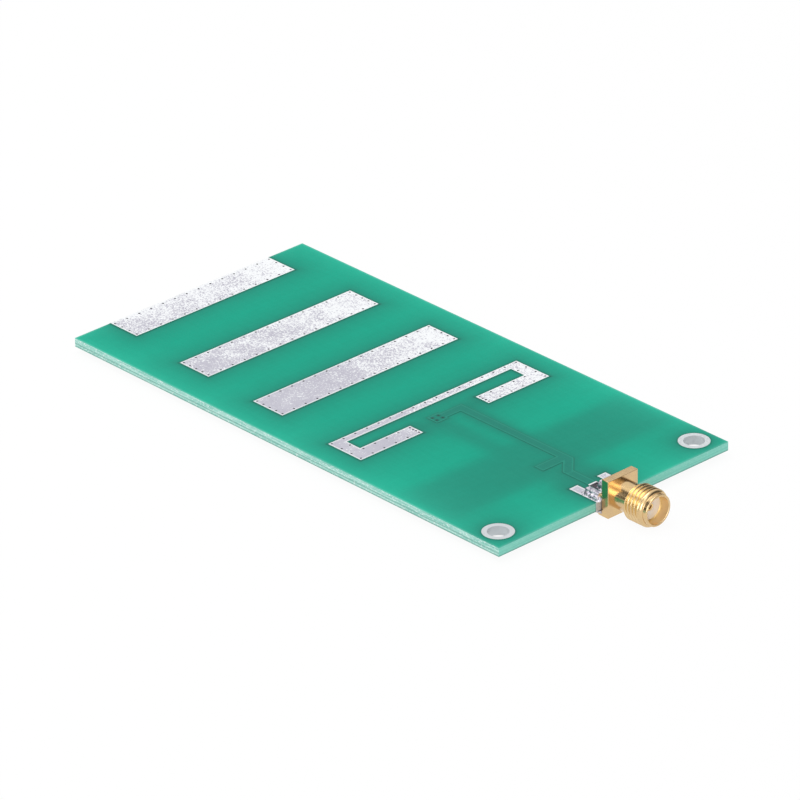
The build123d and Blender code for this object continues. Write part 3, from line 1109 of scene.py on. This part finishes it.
def gold(name):
    """Turned gold. The mouth is brighter as a painted highlight and the thread's roots as a painted
    reflection, and the contact's face is paler still.
    """
    material, tree, shader, place = finish_named(name, Metallic=1.0)
    axes = split_axes(tree, place)
    clouded = clouds(tree, place, 1.6, detail=3.0)
    colour = blend(tree, between(tree, clouded, 0.35, 0.7), gold_colour, worn_gold)
    ahead = between(tree, axes[0], mouth_floor - 0.2, mouth_floor - 0.05)
    radius = from_axis(tree, place)
    inside = sums(tree, "MULTIPLY", ahead, between(tree, radius, mouth_radius + 0.08, mouth_radius + 0.02))
    # The mouth's inside is painted a brighter gold, as a painted highlight.
    colour = blend(tree, inside, colour, mouth_highlight_gold)
    centre_face = sums(tree, "MULTIPLY", ahead, between(tree, radius, pin_radius + 0.05, pin_radius + 0.01))
    colour = blend(tree, centre_face, colour, face_gold)
    # The thread's roots are painted a paler gold, as a painted reflection.
    in_root = between(tree, radius, thread_radius - 0.08, thread_radius - 0.28)
    in_root = sums(tree, "MULTIPLY", in_root, between(tree, axes[0], thread_start - 0.02, thread_start))
    in_root = sums(tree, "MULTIPLY", in_root, between(tree, axes[0], thread_end + 0.02, thread_end))
    colour = blend(tree, in_root, colour, root_reflection_gold)
    tree.links.new(colour, shader.inputs["Base Color"])
    rough = between(tree, clouded, 0.3, 0.7, 0.15, 0.26)
    tree.links.new(sums(tree, "ADD", rough, sums(tree, "MULTIPLY", inside, 0.15)), shader.inputs["Roughness"])
    marks = clouds(tree, place, 0.12, detail=2.0, stretch=(1.0, 0.1, 0.1))
    relief(tree, marks, 0.004, shader)
    return material


gold_finish = gold("gold_plating")
dress(shell, gold_finish)
on_the_jack.objects.link(shell)
dress(centre, gold_finish)
dress(nodes["jack_contact"], gold_finish)
dress(nodes["jack_body"], gold_finish)
print("gold on:", shell.name, "and", centre.name)

# %% [markdown]
# ## The insulator
# The core is a waxy white plastic that lets light in a little way. It is pressed in and faced
# off in the lathe. Subsurface scattering gives the wax, and faint rings give the facing.

# %% Insulator finish
wax_pink = screen_colour(250, 236, 226)
wax_white = screen_colour(255, 246, 238)


def waxy_white():
    """White plastic that light enters a little way, with faint rings from the lathe."""
    material, tree, shader, place = finish_named("insulator", Roughness=0.42, Specular_IOR_Level=0.35)
    rings = sums(tree, "SINE", sums(tree, "MULTIPLY", from_axis(tree, place), 40.0))
    haze = clouds(tree, place, 0.8)
    tree.links.new(blend(tree, haze, wax_pink, wax_white), shader.inputs["Base Color"])
    shader.inputs["Subsurface Weight"].default_value = 0.2
    shader.inputs["Subsurface Radius"].default_value = (0.6 * MM, 0.5 * MM, 0.4 * MM)
    shader.inputs["Subsurface Scale"].default_value = 1.0
    relief(tree, rings, 0.003, shader)
    return material


dress(nodes["jack_insulator"], waxy_white())
print("insulator finished")

# %% [markdown]
# ## Solder
# Hand-made joints are lumpy and very bright where the metal set smooth, with dull grains where
# it cooled slowly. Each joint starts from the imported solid, joined with a skin over the leg or
# pin that it wets and, on the upper legs, with a heap of round drops. A voxel remesh makes one
# even skin of them all, and smooth noise moves that skin. Sculpting would give the same lumps,
# but it can't be run again with other sizes.

# %% Solder finish
solder_dark = screen_colour(150, 146, 166)
solder_light = screen_colour(250, 247, 252)
# The next two colours are solder darkened with painted shade and reflection from the flange.
solder_and_shade_grey = screen_colour(176, 172, 170)
solder_and_shade_pale = screen_colour(212, 208, 206)
# The next two colours paint the shade and dark reflection on the feed pad.
pad_shade_dark = screen_colour(34, 28, 34)
pad_shade_brown = screen_colour(74, 64, 76)


def bright_solder():
    """Bright lumpy solder with dull grains."""
    material, tree, shader, place = finish_named("solder", Metallic=0.9)
    grain = clouds(tree, place, 0.45, detail=5.0, roughness=0.7)
    colour = blend(tree, between(tree, grain, 0.4, 0.62), solder_dark, solder_light)
    tree.links.new(colour, shader.inputs["Base Color"])
    tree.links.new(between(tree, grain, 0.35, 0.7, 0.32, 0.55), shader.inputs["Roughness"])
    relief(tree, grain, 0.02, shader)
    return material


def dull_solder_and_shade():
    """Grey solder that froze in a thin skin on the board's sawn edge, darkened with painted shade and
    reflection from the flange.
    """
    material, tree, shader, place = finish_named("dull_solder_and_shade", Metallic=0.3, Roughness=0.6)
    grain = clouds(tree, place, 0.3, detail=4.0)
    tree.links.new(blend(tree, grain, solder_and_shade_grey, solder_and_shade_pale), shader.inputs["Base Color"])
    relief(tree, grain, 0.02, shader)
    return material


def painted_pad_shade():
    """Painted shade and dark reflection on the feed pad beside the joint, as a dark glassy film."""
    material, tree, shader, place = finish_named("pad_shade", Roughness=0.25, Specular_IOR_Level=0.35)
    grain = clouds(tree, place, 0.6, detail=3.0)
    tree.links.new(blend(tree, grain, pad_shade_dark, pad_shade_brown), shader.inputs["Base Color"])
    relief(tree, grain, 0.01, shader)
    return material


solder_finish = bright_solder()
print("solder finishes ready")

# %% Skins of melted shapes
voxel = 0.06
smooth_rounds = 4


def remeshed(points, faces, size):
    """The skin of overlapping solids as one mesh with even faces, in millimetres."""
    mesh = bpy.data.meshes.new("rough")
    mesh.from_pydata(points, [], faces)
    piece = bpy.data.objects.new("rough", mesh)
    bpy.context.scene.collection.objects.link(piece)
    remesh = piece.modifiers.new("skin", "REMESH")
    remesh.mode = "VOXEL"
    remesh.voxel_size = size
    smooth = piece.modifiers.new("soft", "SMOOTH")
    smooth.iterations = smooth_rounds
    graph = bpy.context.evaluated_depsgraph_get()
    shaped = bpy.data.meshes.new_from_object(piece.evaluated_get(graph))
    bpy.data.objects.remove(piece)
    bpy.data.meshes.remove(mesh)
    return shaped


def node_points(name):
    """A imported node's points in millimetres, and its faces."""
    mesh = nodes[name].data
    return [tuple(point.co / MM) for point in mesh.vertices], [tuple(face.vertices) for face in mesh.polygons]


def ball(centre, radii):
    """A drop of solder, as points and faces in millimetres."""
    shape = bmesh.new()
    bmesh.ops.create_icosphere(shape, subdivisions=2, radius=1.0)
    points = [tuple(c + r * v for c, r, v in zip(centre, radii, point.co)) for point in shape.verts]
    shape.verts.index_update()
    faces = [tuple(point.index for point in face.verts) for face in shape.faces]
    shape.free()
    return points, faces


print("skin helpers ready, voxels of", voxel, "mm")

# %% Solder joint
lump_size = 0.5


def solder_joint(name, node, extras, seed, lump_height):
    """A lumpy joint in the place of a packed solder node, with more shapes melted into it."""
    skin = remeshed(*joined([node_points(node), *extras]), voxel)
    shift = Vector((seed * 7.3, seed * 3.1, seed * 5.7))
    moves = []
    for point in skin.vertices:
        swell = noise.fractal((point.co + shift) / lump_size, 0.8, 2.0, 3)
        moves.append(point.co + point.normal * swell * lump_height)
    for point, place in zip(skin.vertices, moves):
        point.co = place * MM
    for polygon in skin.polygons:
        polygon.use_smooth = True
    skin.name = name
    piece = bpy.data.objects.new(name, skin)
    bpy.context.scene.collection.objects.link(piece)
    dress(piece, solder_finish)
    dress(nodes[node], solder_finish)
    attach(piece, "root")
    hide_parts(node)
    return piece


print("lumps of about", lump_size, "mm")

# %% Solder shapes
root_bare = 0.85
skin_lift = 0.06
skin_bevel = 0.1
lower_skin_foot = body_low[2] + 0.1


def coated_leg(side, face):
    """A skin on one leg: side is 1 for +Y, and face is 1 for the upper legs. Its root stays bare."""
    low_y, high_y = sorted((side * leg_inner, side * leg_outer))
    if face > 0:
        low_z, high_z = board_top + skin_lift, leg_seat + leg_height
    else:
        low_z, high_z = lower_skin_foot, -skin_lift
    low, high = (body_low[0], low_y, low_z), (flange_back - root_bare, high_y, high_z)
    return block(low, high, skin_bevel, 2)


def drops(side):
    """The heap of solder on the outer side of an upper leg. It is highest near the board's edge."""
    # Each drop has its x from the board's end, y and z, and then its three radii.
    heap = [
        (-0.75, 3.42, 0.22, 0.66, 0.42, 0.6),
        (-1.7, 3.38, 0.16, 0.62, 0.4, 0.56),
        (-2.7, 3.3, 0.12, 0.8, 0.36, 0.52),
    ]
    return [ball((jack_edge + x, side * y, board_top + z), radii) for x, y, z, *radii in heap]


pin_coat = 0.09
pin_rows = [
    (pin_end - pin_coat, 0.05),
    (pin_end - pin_coat, pin_radius - 0.1),
    (pin_end + 0.08, pin_radius + pin_coat),
    (jack_edge - 0.5, pin_radius + pin_coat),
    (jack_edge - 0.35, pin_radius - 0.1),
    (jack_edge - 0.35, 0.05),
]
joints = []
for seed, (word, side) in enumerate((("left", 1), ("right", -1)), start=1):
    upper = [coated_leg(side, 1), *drops(side)]
    joints.append(solder_joint(f"solder_top_{word}", f"leg_solder_top_{word}", upper, seed, 0.035))
    lower = [coated_leg(side, -1)]
    joints.append(solder_joint(f"solder_bottom_{word}", f"leg_solder_bottom_{word}", lower, seed + 2, 0.05))
joints.append(solder_joint("solder_pin", "pin_solder", [turned_mesh(pin_rows, 32, axis_z)], 5, 0.03))
print("solder joints:", {piece.name: len(piece.data.polygons) for piece in joints})

# %% [markdown]
# ## Solder and painted shade on the edge, painted shade on the pad
# Behind the flange, a dull grey bead on each side of the board's sawn edge is partly solder that
# ran down it and froze, and partly painted shade and reflection from the flange. On the feed
# pad, ahead of the pin's joint, a dark glassy film is painted shade and dark reflection. All
# three are small rounded blocks that lie on the board's edge or on the pad.

# %% Solder and painted shade on the edge and the pad
bead_inner, bead_outer = 2.3, 4.25
bead_thickness = 0.16
bead_sunk = 0.02
bead_overrun = 0.1
bead_bevel = 0.07
# A dark glassy film of painted shade and dark reflection lies on the feed pad, beside the pin.
pad_shade_far, pad_shade_near = 4.75, 2.9
pad_shade_right, pad_shade_left = -0.86, 0.72
pad_shade_sunk, pad_shade_rise, pad_shade_bevel = 0.01, 0.05, 0.02
edge_solder_and_shade_finish = dull_solder_and_shade()
# Each edge bead is solder, darkened with painted shade and reflection from the flange.
for word, side in (("left", 1), ("right", -1)):
    low_y, high_y = sorted((side * bead_inner, side * bead_outer))
    bead_low = (jack_edge - bead_sunk, low_y, bead_sunk)
    bead_high = (jack_edge + bead_thickness, high_y, board_top + bead_overrun)
    bead = mesh_piece(f"solder_and_shade_edge_{word}", *block(bead_low, bead_high, bead_bevel))
    dress(bead, edge_solder_and_shade_finish)
    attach(bead, "root")
pad_shade_low = (jack_edge - pad_shade_far, pad_shade_right, tin_top - pad_shade_sunk)
pad_shade_high = (jack_edge - pad_shade_near, pad_shade_left, tin_top + pad_shade_rise)
pad_shade = mesh_piece("pad_shade_film", *block(pad_shade_low, pad_shade_high, pad_shade_bevel))
dress(pad_shade, painted_pad_shade())
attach(pad_shade, "root")
print("edge beads and flux film added")
